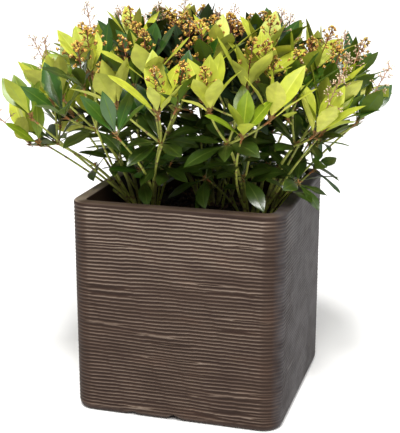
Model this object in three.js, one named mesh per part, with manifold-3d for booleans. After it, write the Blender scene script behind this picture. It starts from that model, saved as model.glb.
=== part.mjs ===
// A skimmia in its square ribbed planter, as a three.js scene graph in millimetres, +Z up.
// The origin is the centre of the planter's flat underside, and the planter's front faces -Y.
// The shrub is one clump: tapering stems stand in the potting mix, and each one carries a
// mass of foliage that grows by one seeded rule inside a sector of the crown of its own.

import * as THREE from 'three';
import { mergeVertices } from 'three/addons/utils/BufferGeometryUtils.js';
import Module from 'manifold-3d';

const wasm = await Module();
wasm.setup();

// ---------------------------------------------------------------- driving dimensions

// Planter
const POT_WIDTH = 400;
const POT_HEIGHT = 410;
const POT_CORNER_RADIUS = 38;
const POT_WALL = 24;
const POT_FLOOR = 20;
const POT_RIM_ROUNDING = 6;
const POT_FOOT_ROUNDING = 14;
const POT_CURVE_SEGMENTS = 4;
const POT_ROUNDING_SEGMENTS = 2;

// Potting mix
const SOIL_LEVEL = 355;
const FIT_GAP = 0.3;

// Crown: a squarish ellipsoid of foliage over a point from which the stems fan out
const FAN_POINT = new THREE.Vector3(0, 0, 280);
const CROWN_CENTRE_HEIGHT = 598;
const CROWN_SHIFT = -16;
const CROWN_HALF_WIDTH = 368;
const CROWN_HALF_DEPTH = 318;
const CROWN_HALF_HEIGHT = 158;
const CROWN_SQUARENESS = 2.5;
const FAN_DEPTH_RATIO = 0.74;
const REACH_HALVINGS = 24;
const BACK_DROP = 0.22;
const SECTOR_CLEARANCE = 0.6;

// The crown's underside rises outwards along a slant through this height and radius, and
// it is tilted, lower on the left
const SKIRT_RADIUS = 234;
const SKIRT_HEIGHT = 444;
const SKIRT_SLOPE = 0.72;
const SKIRT_TILT = 0.13;

// Rings of stems, from the top of the crown outwards. Angles are in degrees: polar from
// the vertical, start as the azimuth of the first stem, step from one stem to the next.
// Bare is the share of the way out to the crown's surface that a stem goes before its
// foliage begins, which is less towards the back, set back is how far its rosettes keep
// inside that surface, and offset is how far its foot stands from the middle of its clump.
const RINGS = [
  {
    name: 'top', count: 1, polar: 2, start: 40, step: 0,
    bare: 0.55, shoots: 4, setBack: 84, offset: 9,
  },
  {
    name: 'inner', count: 6, polar: 24, start: 12, step: 60,
    bare: 0.56, shoots: 3, setBack: 88, offset: 9,
  },
  {
    name: 'outer', count: 10, polar: 45, start: 229, step: 32.7,
    bare: 0.58, shoots: 3, setBack: 88, offset: 35,
  },
  {
    name: 'low', count: 1, polar: 54, start: 196, step: 0,
    bare: 0.68, shoots: 3, setBack: 70, offset: 35,
  },
];

// Clumps in which the stems leave the potting mix
const CLUMPS = [
  new THREE.Vector2(-98, -32),
  new THREE.Vector2(100, -22),
  new THREE.Vector2(2, 66),
];

// Stems
const STEM_FOOT_RADIUS = 3.5;
const STEM_TIP_RADIUS = 2.6;
const STEM_FLARE = 1.2;
const STEM_FLARE_SHARE = 0.14;
const STEM_BEND_OUT = 0.18;
const STEM_BEND_UP = 0.56;
const STEM_SIDES = 6;
const STEM_STEPS = 4;

// Shoots inside a mass
const NECK_LENGTH = 26;
const NECK_TIP_RADIUS = 2.5;
const SHOOT_FOOT_RADIUS = 2.3;
const SHOOT_TIP_RADIUS = 1.9;
const SHOOT_SPREAD = 8.2;
const SHOOT_TURN_JITTER = 0.35;
const SHOOT_DEPTH_JITTER = 46;
const TWIG_SIDES = 3;
const TWIG_STEPS = 2;
const SHOOT_BOW = 8;
const SHOOT_LIFT = 0.05;
const SHOOT_ROOM = 20;
const SHOOT_FLOOR = 556;
const SHOOT_FLOOR_FALL = 62;
const SHOOT_FLOOR_TILT = 40;
const SPREAD_SHARES = [1, 0.8, 0.6, 0.4, 0.2];

// How strongly whorls and rosettes turn up from the way their shoot runs, and how much of
// that rosettes lose out at the sides
const WHORL_LIFT = 1.2;
const ROSETTE_LIFT = 1.4;
const SIDE_LEAN = 0.65;

// Leaves
const LEAF_LENGTH = 102;
const LEAF_LENGTH_JITTER = 18;
const LEAF_TURN_JITTER = 0.3;
const LEAF_WIDTH_SHARE = 0.35;
const LEAF_WIDEST_AT = 0.56;
const LEAF_ROOT_DEPTH = 4.2;
const LEAF_RIDGE = 0.6;
const LEAF_EDGE_DROP = 0.8;
const LEAF_DROOP = 5;
const LEAF_CLEARANCE = 4.5;
const LEAF_APART = 0.55;
const LEAF_CHECKS_ALONG = [0.25, 0.4, LEAF_WIDEST_AT, 0.75, 1];
const LEAF_CHECKS_ACROSS = [-1, -0.5, 0, 0.5, 1];

// What a leaf tries, in turn, where it doesn't fit at full size and spread
const SHRINKS = [1, 0.84, 0.7];
const FOLDS = [1, 0.76, 0.54, 0.34];
const SWINGS = [0, 0.3, -0.3];

// Rings of leaves: how many, between what angles from the shoot in degrees, and how long
// beside a full leaf
const WHORL = { count: 4, angles: [62, 92], scale: 0.86 };
const ROSETTE = { count: 5, angles: [24, 50], scale: 1 };
const HEART = { count: 2, angles: [10, 24], scale: 0.9 };
const HEART_BESIDE_FLOWERS = { count: 1, angles: [12, 24], scale: 0.9 };
const HUB_WIDTH = 13;
const HUB_LENGTH = 16;

// Flower panicles: a slim head with side sprays, the angles in degrees from its stalk, on
// rosettes over a certain height
const PANICLE_SHARE = 0.95;
const PANICLE_FLOOR = 585;
const PANICLE_LENGTH = 86;
const PANICLE_WIDTH = 14;
const SPRAYS = [
  { along: 0.52, angle: 50 },
  { along: 0.7, angle: 42 },
];
const SPRAY_LENGTH = 26;
const SPRAY_WIDTH = 13;
const GOLDEN_ANGLE = Math.PI * (3 - Math.sqrt(5));

// Finish of the fused masses
const WELD_LENGTH = 0.05;

const SEED = 2089;
const SEED_STEP = 7919;

const UP = new THREE.Vector3(0, 0, 1);
const AXIS_REFERENCE = new THREE.Vector3(0, 1, 0);
const CROWN_CENTRE = new THREE.Vector3(CROWN_SHIFT, 0, CROWN_CENTRE_HEIGHT);
const CROWN_HALF_AXES = new THREE.Vector3(CROWN_HALF_WIDTH, CROWN_HALF_DEPTH, CROWN_HALF_HEIGHT);

// ---------------------------------------------------------------- solids

function toManifold(geometry) {
  const bare = geometry.clone();
  bare.deleteAttribute('normal');
  bare.deleteAttribute('uv');
  const merged = mergeVertices(bare);
  return new wasm.Manifold(new wasm.Mesh({
    numProp: 3,
    vertProperties: new Float32Array(merged.attributes.position.array),
    triVerts: new Uint32Array(merged.index.array),
  }));
}

function toGeometry(solid) {
  const mesh = solid.getMesh();
  const geometry = new THREE.BufferGeometry();
  geometry.setAttribute('position', new THREE.BufferAttribute(mesh.vertProperties, 3));
  geometry.setIndex(new THREE.BufferAttribute(mesh.triVerts, 1));
  geometry.computeVertexNormals();
  return geometry;
}

// Joins solids into one, and keeps its main body: scraps and sealed hollows go.
function fuse(solids) {
  const joined = solids.reduce((whole, solid) => whole.add(solid));
  const bodies = joined.decompose();
  return bodies.reduce((main, body) => (body.volume() > main.volume() ? body : main));
}

// Draws the two ends of each very short edge together, and drops the faces that this
// closes up, so that no sliver is left where many leaf stalks cross.
function weldShortEdges(geometry) {
  const position = geometry.attributes.position;
  const index = Array.from(geometry.index.array);
  const heads = Array.from({ length: position.count }, (_, i) => i);
  const headOf = (i) => (heads[i] === i ? i : headOf(heads[i]));
  const from = new THREE.Vector3();
  const to = new THREE.Vector3();
  for (let i = 0; i < index.length; i += 1) {
    const next = i % 3 === 2 ? i - 2 : i + 1;
    from.fromBufferAttribute(position, index[i]);
    to.fromBufferAttribute(position, index[next]);
    if (from.distanceTo(to) < WELD_LENGTH) {
      heads[headOf(index[i])] = headOf(index[next]);
    }
  }
  const faces = new Map();
  for (let i = 0; i < index.length; i += 3) {
    const face = index.slice(i, i + 3).map(headOf);
    const key = [...face].sort((a, b) => a - b).join();
    if (new Set(face).size === 3 && !faces.delete(key)) {
      faces.set(key, face);
    }
  }
  const welded = new THREE.BufferGeometry();
  welded.setAttribute('position', position);
  welded.setIndex([...faces.values()].flat());
  return mergeVertices(welded.toNonIndexed());
}

// ---------------------------------------------------------------- seeded numbers

// A Park-Miller sequence: each call gives the next number between 0 and 1.
function makeRandom(seed) {
  const multiplier = 48271;
  const modulus = 2147483647;
  let state = seed;
  return () => {
    state = (state * multiplier) % modulus;
    return state / modulus;
  };
}

// ---------------------------------------------------------------- planter and mix

function roundedSquare(width, radius) {
  const half = width / 2;
  const straight = half - radius;
  const shape = new THREE.Shape();
  shape.absarc(straight, straight, radius, 0, Math.PI / 2);
  shape.absarc(-straight, straight, radius, Math.PI / 2, Math.PI);
  shape.absarc(-straight, -straight, radius, Math.PI, Math.PI * 1.5);
  shape.absarc(straight, -straight, radius, Math.PI * 1.5, Math.PI * 2);
  return shape;
}

// A rounded square block from one height to another, its level edges rounded.
function roundedBlock(width, radius, from, to, rounding) {
  const geometry = new THREE.ExtrudeGeometry(roundedSquare(width, radius), {
    depth: to - from - 2 * rounding,
    curveSegments: POT_CURVE_SEGMENTS,
    bevelEnabled: rounding > 0,
    bevelThickness: rounding,
    bevelSize: rounding,
    bevelOffset: -rounding,
    bevelSegments: POT_ROUNDING_SEGMENTS,
  });
  return geometry.translate(0, 0, from + rounding);
}

function potGeometry() {
  const split = POT_HEIGHT / 2;
  const overlap = 2 * POT_FOOT_ROUNDING;
  const inside = POT_WIDTH - 2 * POT_WALL;
  const insideRadius = POT_CORNER_RADIUS - POT_WALL;
  const foot = roundedBlock(POT_WIDTH, POT_CORNER_RADIUS, 0, split + overlap, POT_FOOT_ROUNDING);
  const rim = roundedBlock(POT_WIDTH, POT_CORNER_RADIUS, split, POT_HEIGHT, POT_RIM_ROUNDING);
  const hollow = roundedBlock(inside, insideRadius, POT_FLOOR, POT_HEIGHT + overlap, 0);
  return toGeometry(toManifold(foot).add(toManifold(rim)).subtract(toManifold(hollow)));
}

function soilGeometry() {
  const width = POT_WIDTH - 2 * (POT_WALL + FIT_GAP);
  const radius = POT_CORNER_RADIUS - POT_WALL - FIT_GAP;
  return roundedBlock(width, radius, POT_FLOOR + FIT_GAP, SOIL_LEVEL, 0);
}

// ---------------------------------------------------------------- crown sectors

function directionTo(polar, azimuth) {
  const tilt = THREE.MathUtils.degToRad(polar);
  const turn = THREE.MathUtils.degToRad(azimuth);
  const x = Math.sin(tilt) * Math.cos(turn);
  const y = Math.sin(tilt) * Math.sin(turn) * FAN_DEPTH_RATIO;
  return new THREE.Vector3(x, y, Math.cos(tilt)).normalize();
}

// Less than 1 inside the crown, and 1 on its surface.
function crownShare(point) {
  const share = point.clone().sub(CROWN_CENTRE).divide(CROWN_HALF_AXES);
  const parts = share.toArray().map((part) => Math.abs(part) ** CROWN_SQUARENESS);
  return parts[0] + parts[1] + parts[2];
}

function aboveSkirt(point) {
  const x = point.x - CROWN_CENTRE.x;
  const y = (point.y - CROWN_CENTRE.y) * CROWN_HALF_WIDTH / CROWN_HALF_DEPTH;
  const rise = SKIRT_SLOPE * (Math.hypot(x, y) - SKIRT_RADIUS) + SKIRT_TILT * point.x;
  return point.z > SKIRT_HEIGHT + rise;
}

// How far it is from the fan point along a direction to the crown's surface.
function reachAlong(direction) {
  let near = CROWN_CENTRE.distanceTo(FAN_POINT);
  let far = near + CROWN_HALF_WIDTH;
  for (let i = 0; i < REACH_HALVINGS; i += 1) {
    const middle = (near + far) / 2;
    if (crownShare(FAN_POINT.clone().addScaledVector(direction, middle)) < 1) {
      near = middle;
    } else {
      far = middle;
    }
  }
  return near;
}

function nearestClump(point) {
  const spot = new THREE.Vector2(point.x, point.y);
  return CLUMPS.reduce((best, clump) => (
    clump.distanceTo(spot) < best.distanceTo(spot) ? clump : best));
}

function makeSector(ring, number, index) {
  const direction = directionTo(ring.polar, ring.start + number * ring.step);
  const reach = reachAlong(direction);
  const bare = ring.bare - BACK_DROP * Math.max(0, direction.y);
  const tip = FAN_POINT.clone().addScaledVector(direction, reach * bare);
  const clump = nearestClump(tip);
  const lean = new THREE.Vector2(tip.x, tip.y).sub(clump).normalize();
  const stand = clump.clone().addScaledVector(lean, ring.offset);
  const foot = new THREE.Vector3(stand.x, stand.y, SOIL_LEVEL + FIT_GAP);
  const bend = foot.clone().lerp(tip, STEM_BEND_OUT);
  bend.z = THREE.MathUtils.lerp(foot.z, tip.z, STEM_BEND_UP);
  const curve = new THREE.QuadraticBezierCurve3(foot, bend, tip);
  const suffix = ring.count > 1 ? `_${number + 1}` : '';
  return { ring, index, direction, reach, tip, foot, curve, label: `${ring.name}${suffix}` };
}

function makeSectors() {
  const sectors = [];
  for (const ring of RINGS) {
    for (let number = 0; number < ring.count; number += 1) {
      sectors.push(makeSector(ring, number, sectors.length));
    }
  }
  return sectors;
}

const sectors = makeSectors();

// The flat walls between a sector and each of its neighbours, as normals that point in.
for (const sector of sectors) {
  sector.walls = sectors.filter((other) => other !== sector)
    .map((other) => sector.direction.clone().sub(other.direction).normalize());
}

// ---------------------------------------------------------------- limbs

// A round limb along a curve: a cylinder whose rings are carried along it.
function limbGeometry(curve, radiusAt, sides, steps) {
  const geometry = new THREE.CylinderGeometry(1, 1, 1, sides, steps);
  const position = geometry.attributes.position;
  const local = new THREE.Vector3();
  for (let i = 0; i < position.count; i += 1) {
    local.fromBufferAttribute(position, i);
    const along = THREE.MathUtils.clamp(local.y + 0.5, 0, 1);
    const radius = radiusAt(along);
    const frame = frameAbout(curve.getTangent(along));
    const point = curve.getPoint(along)
      .addScaledVector(frame.first, local.x * radius)
      .addScaledVector(frame.second, -local.z * radius);
    position.setXYZ(i, point.x, point.y, point.z);
  }
  return geometry;
}

function frameAbout(axis) {
  const first = axis.clone().cross(AXIS_REFERENCE).normalize();
  const second = axis.clone().cross(first);
  return { first, second };
}

function stemRadius(along) {
  const flare = Math.max(0, 1 - along / STEM_FLARE_SHARE);
  return THREE.MathUtils.lerp(STEM_FOOT_RADIUS, STEM_TIP_RADIUS, along) + STEM_FLARE * flare;
}

// The foot is cut level where it stands on the mix.
function stemGeometry(sector) {
  const geometry = limbGeometry(sector.curve, stemRadius, STEM_SIDES, STEM_STEPS);
  const position = geometry.attributes.position;
  const above = sector.curve.getPoint(1 / STEM_STEPS).z;
  for (let i = 0; i < position.count; i += 1) {
    if (position.getZ(i) < (sector.foot.z + above) / 2) {
      position.setZ(i, sector.foot.z);
    }
  }
  return geometry;
}

function twigGeometry(from, bend, to, footRadius, tipRadius) {
  const curve = new THREE.QuadraticBezierCurve3(from, bend, to);
  const radiusAt = (along) => THREE.MathUtils.lerp(footRadius, tipRadius, along);
  return limbGeometry(curve, radiusAt, TWIG_SIDES, TWIG_STEPS);
}

// ---------------------------------------------------------------- what a mass may fill

// How far a point lies inside its sector's nearest wall.
function roomInSector(sector, point) {
  const fromFan = point.clone().sub(FAN_POINT);
  return Math.min(...sector.walls.map((wall) => fromFan.dot(wall)));
}

function fits(sector, point) {
  return roomInSector(sector, point) > SECTOR_CLEARANCE && crownShare(point) < 1
    && aboveSkirt(point);
}

function clearOfPot(point) {
  const half = POT_WIDTH / 2 + LEAF_CLEARANCE;
  const within = Math.abs(point.x) < half && Math.abs(point.y) < half;
  return !within || point.z > POT_HEIGHT + LEAF_CLEARANCE;
}

const stemLines = sectors.map((sector) => sector.curve.getPoints(STEM_STEPS));

function clearOfStems(point) {
  const nearest = new THREE.Vector3();
  const segment = new THREE.Line3();
  for (const line of stemLines) {
    for (let i = 0; i < STEM_STEPS; i += 1) {
      segment.set(line[i], line[i + 1]).closestPointToPoint(point, true, nearest);
      if (nearest.distanceTo(point) < stemRadius(i / STEM_STEPS) + LEAF_CLEARANCE) {
        return false;
      }
    }
  }
  return true;
}

// ---------------------------------------------------------------- leaves

function bladeHalfWidth(leaf, along) {
  const share = along < LEAF_WIDEST_AT
    ? along / LEAF_WIDEST_AT
    : (1 - along) / (1 - LEAF_WIDEST_AT);
  return leaf.length * LEAF_WIDTH_SHARE * 0.5 * share;
}

function bladePoint(leaf, along, across) {
  return leaf.root.clone()
    .addScaledVector(leaf.direction, leaf.length * along)
    .addScaledVector(leaf.side, bladeHalfWidth(leaf, along) * across)
    .addScaledVector(leaf.face, -LEAF_DROOP * along * along);
}

function leafFits(sector, leaf) {
  for (const along of LEAF_CHECKS_ALONG) {
    for (const across of LEAF_CHECKS_ACROSS) {
      const point = bladePoint(leaf, along, across);
      if (!fits(sector, point) || !clearOfPot(point) || !clearOfStems(point)) {
        return false;
      }
    }
  }
  return true;
}

// A leaf that leaves an axis by an angle, on one side of it. Its face looks to the axis.
function makeLeaf(root, axis, turn, angle, length) {
  const { first, second } = frameAbout(axis);
  const outward = first.multiplyScalar(Math.cos(turn)).addScaledVector(second, Math.sin(turn));
  const direction = axis.clone().multiplyScalar(Math.cos(angle))
    .addScaledVector(outward, Math.sin(angle));
  const face = axis.clone().multiplyScalar(Math.sin(angle))
    .addScaledVector(outward, -Math.cos(angle));
  const side = face.clone().cross(direction);
  return { root, direction, face, side, length };
}

// An octahedron drawn out to a blade: its back corners are the top and the foot of the
// leaf stalk, and the others are the tip, the two edges and the middle of the face.
function leafGeometry(leaf) {
  const middle = LEAF_WIDEST_AT;
  const geometry = new THREE.OctahedronGeometry(1);
  const position = geometry.attributes.position;
  for (let i = 0; i < position.count; i += 1) {
    const x = Math.round(position.getX(i));
    const y = Math.round(position.getY(i));
    const z = Math.round(position.getZ(i));
    let corner = bladePoint(leaf, middle, 0).addScaledVector(leaf.face, LEAF_RIDGE);
    if (x > 0) {
      corner = bladePoint(leaf, 1, 0);
    } else if (x < 0) {
      corner = leaf.root.clone().addScaledVector(leaf.face, LEAF_ROOT_DEPTH / 2);
    } else if (y !== 0) {
      corner = bladePoint(leaf, middle, y).addScaledVector(leaf.face, -LEAF_EDGE_DROP);
    } else if (z < 0) {
      corner = leaf.root.clone().addScaledVector(leaf.face, -LEAF_ROOT_DEPTH / 2);
    }
    position.setXYZ(i, corner.x, corner.y, corner.z);
  }
  return geometry;
}

// A slim octahedron from a foot along a direction.
function spindleGeometry(foot, direction, length, width) {
  const geometry = new THREE.OctahedronGeometry(1);
  geometry.scale(width / 2, width / 2, length / 2);
  geometry.translate(0, 0, length / 2);
  geometry.applyQuaternion(new THREE.Quaternion().setFromUnitVectors(UP, direction));
  return geometry.translate(foot.x, foot.y, foot.z);
}

// The swelling that a ring of leaf stalks grows from.
function hubGeometry(centre, axis) {
  const foot = centre.clone().addScaledVector(axis, -HUB_LENGTH / 2);
  return spindleGeometry(foot, axis, HUB_LENGTH, HUB_WIDTH);
}

// A leaf that doesn't fit swings aside and folds closer to the axis, then grows shorter,
// and is left out if it still doesn't fit.
function fitLeaf(sector, taken, root, axis, turn, angle, length) {
  for (const shrink of SHRINKS) {
    for (const fold of FOLDS) {
      for (const swing of SWINGS) {
        const leaf = makeLeaf(root, axis, turn + swing, angle * fold, length * shrink);
        const crowded = taken.some((other) => (
          leaf.direction.angleTo(other.direction) < LEAF_APART));
        if (!crowded && leafFits(sector, leaf)) {
          return leaf;
        }
      }
    }
  }
  return null;
}

// Adds a ring of leaves to those already taken on the same hub.
function addLeafRing(sector, random, taken, root, axis, ring) {
  const start = random() * Math.PI * 2;
  for (let i = 0; i < ring.count; i += 1) {
    const place = i + LEAF_TURN_JITTER * (random() - 0.5);
    const turn = start + place * Math.PI * 2 / ring.count;
    const angle = THREE.MathUtils.degToRad(THREE.MathUtils.lerp(...ring.angles, random()));
    const length = (LEAF_LENGTH + LEAF_LENGTH_JITTER * (random() - 0.5)) * ring.scale;
    const leaf = fitLeaf(sector, taken, root, axis, turn, angle, length);
    if (leaf) {
      taken.push(leaf);
    }
  }
}

// ---------------------------------------------------------------- panicles

function panicleSolids(sector, random, root, axis) {
  const tip = root.clone().addScaledVector(axis, PANICLE_LENGTH);
  const start = random() * Math.PI * 2;
  if (!fits(sector, tip)) {
    return [];
  }
  const solids = [spindleGeometry(root, axis, PANICLE_LENGTH, PANICLE_WIDTH)];
  for (const [i, { along, angle }] of SPRAYS.entries()) {
    const foot = root.clone().lerp(tip, along);
    const turn = start + i * GOLDEN_ANGLE;
    const spray = makeLeaf(foot, axis, turn, THREE.MathUtils.degToRad(angle), SPRAY_LENGTH);
    if (fits(sector, bladePoint(spray, 1, 0))) {
      solids.push(spindleGeometry(foot, spray.direction, SPRAY_LENGTH, SPRAY_WIDTH));
    }
  }
  return solids;
}

// ---------------------------------------------------------------- masses

function growRosette(sector, random, end, axis) {
  const leaves = [];
  addLeafRing(sector, random, leaves, end, axis, ROSETTE);
  const flowers = random() < PANICLE_SHARE && end.z > PANICLE_FLOOR;
  addLeafRing(sector, random, leaves, end, axis, flowers ? HEART_BESIDE_FLOWERS : HEART);
  const solids = [hubGeometry(end, axis), ...leaves.map(leafGeometry)];
  if (flowers) {
    solids.push(...panicleSolids(sector, random, end, axis));
  }
  return solids;
}

// The point where a shoot ends, on one side of its sector's middle.
function shootEnd(sector, turn, spread, distance) {
  const { first, second } = frameAbout(sector.direction);
  const aim = sector.direction.clone()
    .addScaledVector(first, Math.cos(turn) * spread)
    .addScaledVector(second, Math.sin(turn) * spread)
    .addScaledVector(UP, SHOOT_LIFT)
    .normalize();
  return FAN_POINT.clone().addScaledVector(aim, distance);
}

function turnedUp(axis, lift) {
  return axis.clone().addScaledVector(UP, lift).normalize();
}

// A shoot from the fork to a rosette. It leans out as far as its sector leaves room.
function growShoot(sector, random, fork, number) {
  const { reach, ring } = sector;
  const turn = (number + SHOOT_TURN_JITTER * random()) * Math.PI * 2 / ring.shoots + sector.index;
  const distance = reach - ring.setBack - SHOOT_DEPTH_JITTER * random();
  const spread = Math.tan(THREE.MathUtils.degToRad(SHOOT_SPREAD));
  const aside = Math.abs(sector.direction.x);
  const floor = SHOOT_FLOOR - SHOOT_FLOOR_FALL * aside + SHOOT_FLOOR_TILT * sector.direction.x;
  const end = SPREAD_SHARES.map((share) => shootEnd(sector, turn, spread * share, distance))
    .find((point) => roomInSector(sector, point) > SHOOT_ROOM && point.z > floor);
  if (!end) {
    return [];
  }
  const outward = end.clone().sub(fork).projectOnPlane(sector.direction).normalize();
  const bend = fork.clone().lerp(end, 0.5).addScaledVector(outward, SHOOT_BOW);
  const lift = ROSETTE_LIFT * (1 - SIDE_LEAN * aside);
  const axis = turnedUp(end.clone().sub(bend).normalize(), lift);
  return [
    twigGeometry(fork, bend, end, SHOOT_FOOT_RADIUS, SHOOT_TIP_RADIUS),
    ...growRosette(sector, random, end, axis),
  ];
}

function foliageSolid(sector) {
  const random = makeRandom(SEED + SEED_STEP * (sector.index + 1));
  const axis = sector.curve.getTangent(1);
  const start = sector.tip.clone().addScaledVector(axis, FIT_GAP);
  const fork = sector.tip.clone().addScaledVector(axis, NECK_LENGTH);
  const middle = start.clone().lerp(fork, 0.5);
  const whorlAxis = turnedUp(axis, WHORL_LIFT);
  const leaves = [];
  addLeafRing(sector, random, leaves, fork, whorlAxis, WHORL);
  const solids = [
    twigGeometry(start, middle, fork, STEM_TIP_RADIUS, NECK_TIP_RADIUS),
    hubGeometry(fork, whorlAxis),
    ...leaves.map(leafGeometry),
  ];
  for (let number = 0; number < sector.ring.shoots; number += 1) {
    solids.push(...growShoot(sector, random, fork, number));
  }
  return fuse(solids.map(toManifold));
}

// ---------------------------------------------------------------- materials and scene

const potMaterial = () => new THREE.MeshStandardMaterial({
  color: 0x6b5c50, roughness: 0.85, metalness: 0,
});
const soilMaterial = () => new THREE.MeshStandardMaterial({
  color: 0x2a1d15, roughness: 0.98, metalness: 0,
});
const barkMaterial = () => new THREE.MeshStandardMaterial({
  color: 0x8a9a45, roughness: 0.7, metalness: 0,
});
const leafMaterial = () => new THREE.MeshStandardMaterial({
  color: 0x6f9a2c, roughness: 0.45, metalness: 0,
});

function namedMesh(name, geometry, material) {
  const mesh = new THREE.Mesh(geometry, material);
  mesh.name = name;
  return mesh;
}

const skimmia = new THREE.Group();
skimmia.name = 'skimmia_in_planter';
skimmia.add(namedMesh('pot', potGeometry(), potMaterial()));
skimmia.add(namedMesh('soil', soilGeometry(), soilMaterial()));
for (const sector of sectors) {
  const foliage = weldShortEdges(toGeometry(foliageSolid(sector)));
  skimmia.add(namedMesh(`stem_${sector.label}`, stemGeometry(sector), barkMaterial()));
  skimmia.add(namedMesh(`foliage_${sector.label}`, foliage, leafMaterial()));
}

export default skimmia;
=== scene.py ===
"""A skimmia in its square ribbed planter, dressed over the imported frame.

Lengths are in millimetres until a mesh is made, which turns them into metres. The shrub
grows by the same seeded rule as the solids, and is carried on to finer shoots, leaves,
bud panicles and bark.
"""

from itertools import product
from math import cos, pi, radians, sin, sqrt, tan, tau

import bpy
import numpy as np
from mathutils import Euler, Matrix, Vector


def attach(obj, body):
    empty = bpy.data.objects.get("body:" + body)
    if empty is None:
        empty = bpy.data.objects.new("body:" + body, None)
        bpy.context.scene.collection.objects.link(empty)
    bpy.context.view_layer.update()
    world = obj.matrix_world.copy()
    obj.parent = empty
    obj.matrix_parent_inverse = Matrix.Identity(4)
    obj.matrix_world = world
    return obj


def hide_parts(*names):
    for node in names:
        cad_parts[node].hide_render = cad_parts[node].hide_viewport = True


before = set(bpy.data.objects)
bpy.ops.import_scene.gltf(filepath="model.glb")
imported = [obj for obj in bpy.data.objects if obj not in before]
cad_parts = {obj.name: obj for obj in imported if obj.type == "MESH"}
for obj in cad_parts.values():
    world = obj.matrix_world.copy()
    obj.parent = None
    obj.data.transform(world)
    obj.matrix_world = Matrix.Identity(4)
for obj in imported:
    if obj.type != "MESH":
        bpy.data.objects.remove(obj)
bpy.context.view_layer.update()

MM = 0.001

# ---- the source's sizes

POT_WIDTH = 400
POT_HEIGHT = 410
POT_CORNER_RADIUS = 38
POT_WALL = 24
POT_FLOOR = 20
POT_RIM_ROUNDING = 6
POT_FOOT_ROUNDING = 14
SOIL_LEVEL = 355
FIT_GAP = 0.3

FAN_POINT = np.array((0.0, 0.0, 280.0))
CROWN_CENTRE = np.array((-16.0, 0.0, 598.0))
CROWN_HALF_AXES = np.array((368.0, 318.0, 158.0))
CROWN_SQUARENESS = 2.5
SKIRT_RADIUS = 234
SKIRT_HEIGHT = 444
SKIRT_SLOPE = 0.72
SKIRT_TILT = 0.13
FAN_DEPTH_RATIO = 0.74
REACH_HALVINGS = 24
BACK_DROP = 0.22

RINGS = [dict(zip(("name", "count", "polar", "start", "step", "bare", "shoots", "set_back",
                   "offset"), row)) for row in (
    ("top", 1, 2, 40, 0, 0.55, 4, 84, 9),
    ("inner", 6, 24, 12, 60, 0.56, 3, 88, 9),
    ("outer", 10, 45, 229, 32.7, 0.58, 3, 88, 35),
    ("low", 1, 54, 196, 0, 0.68, 3, 70, 35))]
CLUMPS = [np.array((-98.0, -32.0)), np.array((100.0, -22.0)), np.array((2.0, 66.0))]

STEM_RADII = (3.5, 2.6)
STEM_FLARE = 1.2
STEM_FLARE_SHARE = 0.14
STEM_BEND_OUT = 0.18
STEM_BEND_UP = 0.56
STEM_STEPS = 4

NECK_LENGTH = 26
NECK_RADII = (2.6, 2.5)
SHOOT_RADII = (2.3, 1.9)
SHOOT_SPREAD = 8.2
SHOOT_TURN_JITTER = 0.35
SHOOT_DEPTH_JITTER = 46
SHOOT_BOW = 8
SHOOT_LIFT = 0.05
SHOOT_ROOM = 20
SHOOT_FLOOR = 556
SHOOT_FLOOR_FALL = 62
SHOOT_FLOOR_TILT = 40
SPREAD_SHARES = (1, 0.8, 0.6, 0.4, 0.2)
ROSETTE_LIFT = 1.4
SIDE_LEAN = 0.65
WHORL_LIFT = 1.2

LEAF_LENGTH = 102
LEAF_LENGTH_JITTER = 18
LEAF_TURN_JITTER = 0.3
LEAF_WIDTH_SHARE = 0.35
LEAF_WIDEST_AT = 0.56
LEAF_DROOP = 5
LEAF_CLEARANCE = 4.5
LEAF_APART = 0.55
SHRINKS = (1, 0.84, 0.7)
FOLDS = (1, 0.76, 0.54, 0.34)
SWINGS = (0, 0.3, -0.3)

# Rings of leaves: how many, their angles to the axis, and their share of the full length
WHORL = (4, (62, 92), 0.86)
ROSETTE = (5, (24, 50), 1.0)
HEART = (2, (10, 24), 0.9)
HEART_BESIDE_FLOWERS = (1, (12, 24), 0.9)

PANICLE_SHARE = 0.95
PANICLE_FLOOR = 585
GOLDEN_ANGLE = pi * (3 - sqrt(5))
SEED = 2089
SEED_STEP = 7919

# ---- finer growth

FINE_SEED = 40961
WALL_SOFTNESS = -14
FINE_APART = 0.40
MIDDLE = (2, (14, 30), 0.95)
BUD = (2, (8, 20), 0.5)
WHORL_FILL = (3, (66, 100), 0.74)
FINE_ROSETTE = (4, (24, 48), 0.9)
FINE_MIDDLE = (2, (12, 28), 0.84)
LOW_WHORL = (4, (56, 92), 0.72)
INNER_WHORL = (5, (50, 95), 0.78)
BASAL_WHORL = (5, (40, 86), 0.74)
LOOSE_TURN_JITTER = 0.4

# Side shoots: how far below the crown's outside they end, and where they start
OUTER_DEPTH = 8
INNER_DEPTH = 66
FINE_DEPTH_JITTER = 44
FINE_TURN_JITTER = 0.3
FINE_SPREAD = 1.5
FINE_ROOM = 0.4
FINE_RADII = (1.9, 1.7)
SIDE_FORK = (0.3, 0.6)
SIDE_SAG = 6
LOW_FORK = (0.04, 0.3)
LOW_FORK_BOW = 26
LOW_FORK_RADII = (2.6, 1.7)

# Where old leaves ring a stem, each with its play along the stem
LOW_WHORL_PLACES = ((0.66, 0.16), (0.44, 0.14), (0.84, 0.1))
INNER_WHORL_PLACE = 0.45
INNER_WHORL_REACH = 0.8

# Sizes of the dry scales round a rosette, a fork and a low whorl
ROSETTE_BUD = 1.0
FORK_BUD = 1.2
WHORL_BUD = 0.8

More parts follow.
